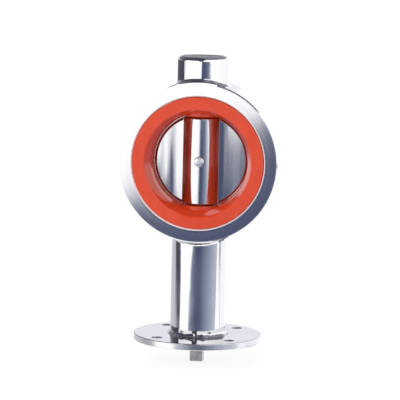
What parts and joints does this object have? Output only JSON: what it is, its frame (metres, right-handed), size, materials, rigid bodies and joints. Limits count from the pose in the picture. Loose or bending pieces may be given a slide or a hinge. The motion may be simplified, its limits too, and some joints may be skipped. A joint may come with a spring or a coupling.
{
  "type": "wafer butterfly valve",
  "caption": "Bare-stem wafer butterfly valve: polished steel ring with a silicone seat, a quarter-turn disc, a blind boss, and a neck with an actuator flange and a square drive end.",
  "frame": {"origin": "where the pipe axis crosses the stem axis, at the middle of the disc", "axes": "+Z along the stem towards the blind boss, away from the actuator flange; +Y along the pipe axis; +X completes the right-handed frame"},
  "size_m": [0.109, 0.088, 0.211],
  "materials": {
    "polished_steel": "mirror polished stainless steel",
    "turned_steel": "finely turned stainless steel",
    "stem_steel": "ground stainless steel, dull",
    "spring_steel": "phosphated spring steel",
    "orange_silicone": "glossy orange-red silicone",
    "ptfe": "white PTFE",
    "black_rubber": "black rubber"
  },
  "bodies": {
    "valve_body": {"body_ring": "turned_steel", "blind_boss": "polished_steel", "neck_tube": "polished_steel", "mounting_flange": "polished_steel", "boss_weld_fillet": "polished_steel", "neck_weld_fillet": "polished_steel", "flange_weld_fillet": "polished_steel", "seat_liner": "orange_silicone", "blind_end_bushing": "ptfe", "inner_neck_bushing": "ptfe", "outer_neck_bushing": "ptfe", "blind_end_o_ring": "black_rubber", "inner_neck_o_ring": "black_rubber", "outer_neck_o_ring": "black_rubber", "bushing_o_ring": "black_rubber", "thrust_washer": "spring_steel", "bushing_circlip": "spring_steel", "wiper_seal": "black_rubber", "thrust_pad": "ptfe"},
    "disc_and_stem": {"disc": "polished_steel", "stem": "stem_steel", "disc_pin": "stem_steel", "stem_circlip": "spring_steel"}
  },
  "joints": [
    {"name": "disc_turn", "type": "hinge", "parent": "valve_body", "child": "disc_and_stem", "pos_m": [0, 0, 0], "axis": [0, 0, -1], "range_deg": [0, 90]}
  ]
}
